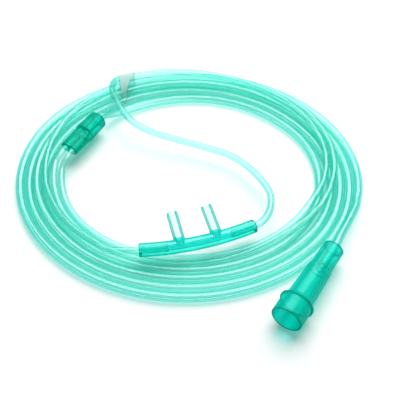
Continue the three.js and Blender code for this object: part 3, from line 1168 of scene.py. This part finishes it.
@dataclass
class YConnector:
    """The stepped connector: one round socket and an oval end with two small sockets."""

    barrel_length: float = 12.6
    barrel_diameter: float = 10.0
    shoulder_diameter: float = 10.8
    barrel_depth: float = 11.0
    oval_length: float = 13.4
    spacing: float = 4.5
    oval_height: float = 5.4
    oval_shoulder_height: float = 6.2
    loop_depth: float = 10.0
    supply_socket_radius: float = 2.38
    loop_socket_radius: float = 1.88
    loop_way_radius: float = 1.4
    chamfer: float = 0.4
    sides: int = 64

    def loop_mouth(self, side: int) -> Vector:
        """Gives the middle of the left (-1) or right (1) loop tube's socket mouth."""
        return Y_SHOULDER + Vector((side * self.spacing / 2, -self.oval_length, 0))

    def outside(self) -> bmesh.types.BMesh:
        """Builds the outside: the oval end, the step and the round barrel.

        Returns:
            The closed shape, its step at the origin.
        """
        low, high = self.oval_height / 2, self.oval_shoulder_height / 2
        b, s = self.barrel_diameter / 2, self.shoulder_diameter / 2
        apart = self.spacing / 2
        # each row is a section: place along Y, sideways shift of its two halves, radius
        rows = [
            (-self.oval_length, apart, low - 0.3), (-self.oval_length + 0.3, apart, low),
            (0.0, apart, high), (0.0, 0.0, s - 0.04), (0.3, 0.0, s),
            (self.barrel_length - self.chamfer, 0.0, b),
            (self.barrel_length, 0.0, b - self.chamfer),
        ]
        bm = bmesh.new()
        turn = Matrix.Rotation(math.radians(-90), 4, "X")
        bmesh.ops.create_circle(bm, cap_ends=False, radius=1.0, segments=self.sides, matrix=turn)
        ring = [(vert, vert.co.x, vert.co.z) for vert in bm.verts]
        edges = list(bm.edges)
        first = list(edges)
        for number, (along, shift, radius) in enumerate(rows):
            if number:
                verts, edges = outer_ring(bmesh.ops.extrude_edge_only(bm, edges=edges)["geom"])
                ring = [
                    (vert, *min(ring, key=lambda old, v=vert: (old[0].co - v.co).length)[1:])
                    for vert in verts
                ]
            for vert, x, z in ring:
                side = math.copysign(shift, x) if abs(x) > 1e-4 else 0.0
                vert.co = (side + radius * x, along, radius * z)
        for end in (first, edges):
            bmesh.ops.contextual_create(bm, geom=end)
        return bm

    def is_thick(self, middle: Vector) -> bool:
        """Tells whether a face is on an end or on the shoulder, where the plastic is thick."""
        along = middle.y - Y_SHOULDER.y
        on_ends = along < -self.oval_length + 0.35 or along > self.barrel_length - 0.45
        return on_ends or abs(along - 0.25) < 0.35

    def build(self) -> bpy.types.Object:
        """Returns:
            The piece.
        """
        finish = FITTING_VINYL.make()
        long = self.barrel_length
        body = finished(self.outside(), "y_connector_clear", finish)
        cuts = []
        radii = [self.supply_socket_radius] * 2
        points = [Vector((0, long - self.barrel_depth, 0)), Vector((0, long + 1, 0))]
        cuts.append(finished(swept(points, radii, 40), "supply_socket", finish))
        for side in (-1, 1):
            x = side * self.spacing / 2
            end = -self.oval_length + self.loop_depth
            points = [Vector((x, -self.oval_length - 1, 0)), Vector((x, end, 0))]
            radii = [self.loop_socket_radius] * 2
            cuts.append(finished(swept(points, radii, 32), f"loop_socket_{side}", finish))
            points = [Vector((x, end - 1, 0)), Vector((x / 2, long - self.barrel_depth + 1, 0))]
            radii = [self.loop_way_radius] * 2
            cuts.append(finished(swept(points, radii, 28), f"loop_way_{side}", finish))
        carved(body, cuts, "DIFFERENCE")
        crisp(body, Y_SHOULDER)
        dressed(body, RIM_VINYL.make(), self.is_thick)
        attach(body, "root")
        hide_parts("y_connector")
        log.info("y_connector_clear: %d faces", len(body.data.polygons))
        return body


@dataclass
class FunnelConnector:
    """The turned soft connector with its tail socket, thin collar and flared mouth."""

    tail_length: float = 14.5
    tail_radius: float = 5.3
    tail_step: float = 0.5
    lead_in: float = 1.6
    socket_radius: float = 2.38
    socket_depth: float = 12.5
    body_length: float = 20.0
    body_end_radius: float = 6.6
    body_wall: float = 1.3
    flare_length: float = 2.2
    collar_radius: float = 8.5
    collar_thickness: float = 1.2
    mouth_length: float = 9.4
    mouth_radius: float = 7.7
    mouth_wall: float = 1.1
    passage: float = 1.4
    sides: int = 96

    def profile(self) -> list[tuple[float, float]]:
        """Gives the closed section, as radius and place along Y from the tail's end."""
        ring = -self.tail_length
        flare = ring - self.body_length
        collar = flare - self.flare_length
        under = collar - self.collar_thickness
        face = under - self.mouth_length
        t, e, m = self.tail_radius, self.body_end_radius, self.mouth_radius
        start = t + self.tail_step
        outside = [
            (self.socket_radius + self.lead_in, 0), (t - 0.25, 0), (t, -0.25), (t, ring),
            (start - 0.15, ring), (start, ring - 0.15), (e, flare),
            (e + 0.25, collar + 1.2), (e + 0.8, collar + 0.4), (self.collar_radius - 0.2, collar),
            (self.collar_radius, collar - 0.2), (self.collar_radius, under + 0.2),
            (self.collar_radius - 0.2, under), (m + 0.1, under), (m, under - 0.3),
            (m, face + 0.3), (m - 0.3, face),
        ]
        inside = [
            (m - self.mouth_wall + 0.2, face), (m - self.mouth_wall, face + 0.2),
            (m - self.mouth_wall - 0.5, collar), (e - self.body_wall, flare),
            (start - self.body_wall, ring - self.body_wall), (self.passage + 0.6, ring - 0.3),
            (self.passage, ring), (self.passage, -self.socket_depth),
            (self.socket_radius, -self.socket_depth), (self.socket_radius, -self.lead_in),
            (self.socket_radius + self.lead_in - 0.2, -0.2),
        ]
        return [(float(a), float(b)) for a, b in outside + inside]

    def is_mouth_outside(self, middle: Vector) -> bool:
        """Tells whether a face is on the outside of the mouth, past the collar."""
        away = middle - TAIL_END
        collar = self.tail_length + self.body_length + self.flare_length
        return away.y < -collar and math.hypot(away.x, away.z) > self.mouth_radius - 0.3

    def is_thick(self, middle: Vector) -> bool:
        """Tells whether a face is on the collar or on a rim, where the plastic is seen edge on."""
        away = middle - TAIL_END
        radius = math.hypot(away.x, away.z)
        ring = -self.tail_length
        collar = ring - self.body_length - self.flare_length
        face = collar - self.collar_thickness - self.mouth_length
        on_collar = radius > self.mouth_radius + 0.2
        on_mouth = away.y < face + 0.35
        on_step = abs(away.y - ring) < 0.4 and not 2.2 < radius < self.tail_radius - 0.1
        return on_collar or on_mouth or on_step or away.y > -0.3

    def build(self) -> bpy.types.Object:
        """Returns:
            The piece.
        """
        finish = FUNNEL_VINYL.make()
        body = finished(turned(self.profile(), self.sides, TAIL_END), "funnel_soft", finish)
        dressed(body, MOUTH_VINYL.make(), self.is_mouth_outside)
        dressed(body, RIM_VINYL.make(), self.is_thick)
        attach(body, "root")
        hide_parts("funnel_connector")
        log.info("funnel_soft: %d faces", len(body.data.polygons))
        return body


@dataclass
class CoilTie:
    """The paper tie: a thin band round the outer tubes."""

    angle: float = 112.7
    width: float = 8.6
    thickness: float = 0.25
    reach: float = 9.5
    slant: float = 5.6
    top: float = 12.0
    outer_spread: float = 1.15
    taper: float = 0.85

    def build(self) -> bpy.types.Object:
        """Returns:
            The piece.
        """
        finish = TissueTape().make()
        out = OVAL.outward(self.angle)
        up = Vector((0, 0, 1))
        along = out.cross(up)
        base = OVAL.place(self.angle, 0, 0)
        corners = [
            (-self.reach - 0.6, 1.2), (-self.reach + 0.8, 0.12), (-0.6, 0.12), (1.2, 0.9),
            (1.9, 3.0), (1.8, 6.5), (1.3, 9.8), (-0.6, self.top - 0.2), (-3.6, self.top),
            (-7.6, 9.6), (-self.reach - 1.2, 5.4), (-self.reach - 1.3, 3.0),
        ]
        bm = bmesh.new()
        points = [
            bm.verts.new(base + out * x + up * z - along * (self.width / 2)) for x, z in corners
        ]
        edges = [bm.edges.new((a, b)) for a, b in zip(points, points[1:] + points[:1])]
        for _ in range(3):
            verts, edges = outer_ring(bmesh.ops.extrude_edge_only(bm, edges=edges)["geom"])
            bmesh.ops.translate(bm, vec=along * (self.width / 3), verts=verts)
        for vert in bm.verts:
            inward = min(max(-(vert.co - base).dot(out) / self.reach, 0), 1)
            offset = (vert.co - base).dot(along)
            spread = self.outer_spread - self.taper * inward
            wanted = offset * spread - self.slant * inward
            vert.co += along * (wanted - offset)
        piece = finished(bm, "coil_tie_paper", finish)
        wall = piece.modifiers.new("wall", "SOLIDIFY")
        wall.thickness = self.thickness * MM
        wall.offset = 0
        smooth = piece.modifiers.new("smooth", "SUBSURF")
        smooth.levels = smooth.render_levels = 2
        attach(piece, "root")
        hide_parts("coil_tie")
        log.info("coil_tie_paper: made")
        return piece


# Floor, light and camera


@dataclass
class Studio:
    """The white floor, the soft light and the camera."""

    target: tuple[float, float, float] = (8.015, -8.656, 0.0)
    eye: tuple[float, float, float] = (171.51, -270.31, 367.70)
    lens: float = 84.706
    sky: float = 0.26
    light_place: tuple[float, float, float] = (-0.16, 0.50, 0.86)
    light_size: tuple[float, float] = (1.0, 0.9)
    light_power: float = 15.0

    def camera(self) -> None:
        """Sets the camera at the photograph's viewing angle."""
        data = bpy.data.cameras.new("camera")
        data.lens = self.lens
        data.sensor_width = 36
        data.clip_start, data.clip_end = 0.01, 20
        camera = bpy.data.objects.new("camera", data)
        camera.location = Vector(self.eye) * MM
        look = (Vector(self.target) - Vector(self.eye)).normalized()
        camera.rotation_euler = look.to_track_quat("-Z", "Y").to_euler()
        bpy.context.scene.collection.objects.link(camera)
        bpy.context.scene.camera = camera

    def softbox(self) -> None:
        """Adds the soft light that faces the coil from above and behind."""
        data = bpy.data.lights.new("overhead_softbox", "AREA")
        data.shape = "RECTANGLE"
        data.size, data.size_y = self.light_size
        data.energy = self.light_power
        light = bpy.data.objects.new("overhead_softbox", data)
        light.location = self.light_place
        light.rotation_euler = (-Vector(self.light_place)).to_track_quat("-Z", "Y").to_euler()
        bpy.context.scene.collection.objects.link(light)

    def build(self) -> None:
        """Makes the floor, the sky and the light."""
        bm = bmesh.new()
        bmesh.ops.create_grid(bm, x_segments=1, y_segments=1, size=3)
        mesh = bpy.data.meshes.new("floor")
        bm.to_mesh(mesh)
        bm.free()
        mesh.materials.append(PaleFloor().make())
        floor = bpy.data.objects.new("floor", mesh)
        floor.location.z = -0.0001
        bpy.context.scene.collection.objects.link(floor)
        world = bpy.data.worlds.new("sky")
        world.use_nodes = True
        background = world.node_tree.nodes["Background"]
        background.inputs[0].default_value = (1, 1, 1, 1)
        background.inputs[1].default_value = self.sky
        bpy.context.scene.world = world
        self.softbox()
        scene = bpy.context.scene
        scene.view_settings.view_transform = "Standard"
        scene.cycles.max_bounces = 16
        scene.cycles.transparent_max_bounces = 48


def main() -> None:
    """Builds the cannula, then the studio."""
    logging.basicConfig(level=logging.INFO, format="%(message)s")
    studio = Studio()
    studio.camera()
    funnel = FunnelConnector().build()
    Tubing().build([funnel])
    YConnector().build()
    Nosepiece().build()
    CoilTie().build()
    studio.build()


if __name__ == "__main__":
    main()
